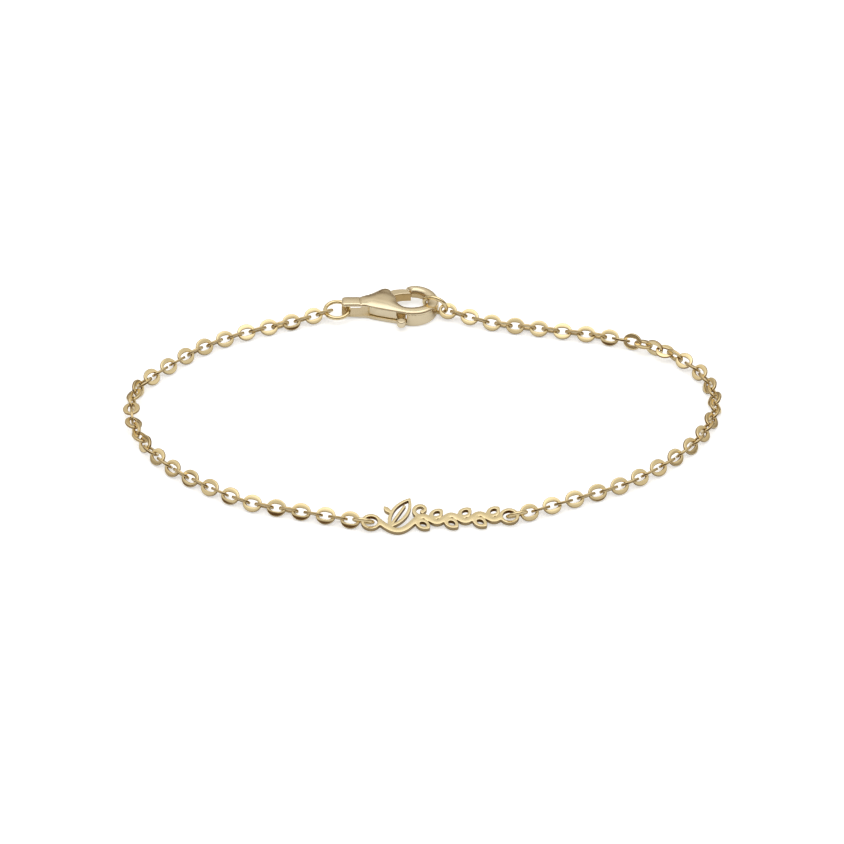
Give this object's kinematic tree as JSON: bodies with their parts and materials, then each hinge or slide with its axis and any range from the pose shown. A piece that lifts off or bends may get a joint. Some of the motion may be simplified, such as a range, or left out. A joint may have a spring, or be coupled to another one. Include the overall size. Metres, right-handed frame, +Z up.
{
  "type": "nameplate bracelet",
  "caption": "Fine cable-chain bracelet laid as a loop, with a pierced leaf plate at the front, jump rings and a sprung lobster clasp.",
  "frame": {"origin": "on the surface that the bracelet lies on, under the middle of its box", "axes": "+Z up from the surface, +X along the length of the loop with the plate's taller leaf towards -X, +Y from the plate towards the clasp"},
  "size_m": [0.0717, 0.0494, 0.0032],
  "materials": {
    "polished_gold": "polished pale yellow gold plate",
    "satin_gold": "satin pale yellow gold plate"
  },
  "bodies": {
    "bracelet": {"nameplate": "polished_gold", "plate_ring_left": "polished_gold", "plate_ring_right": "polished_gold", "chain_left": "polished_gold", "chain_right": "polished_gold", "clasp_ring_left": "polished_gold", "clasp_ring_right": "polished_gold", "clasp_body": "satin_gold", "clasp_pin": "satin_gold"},
    "lever": {"clasp_lever": "satin_gold"}
  },
  "joints": [
    {"name": "lever_hinge", "type": "hinge", "parent": "bracelet", "child": "lever", "pos_m": [-0.00525, 0.02185, 0.00113], "axis": [0, 0, -1], "range_deg": [0, 18], "stiffness_Nm_per_rad": 0.002, "springref_deg": -11.46}
  ]
}
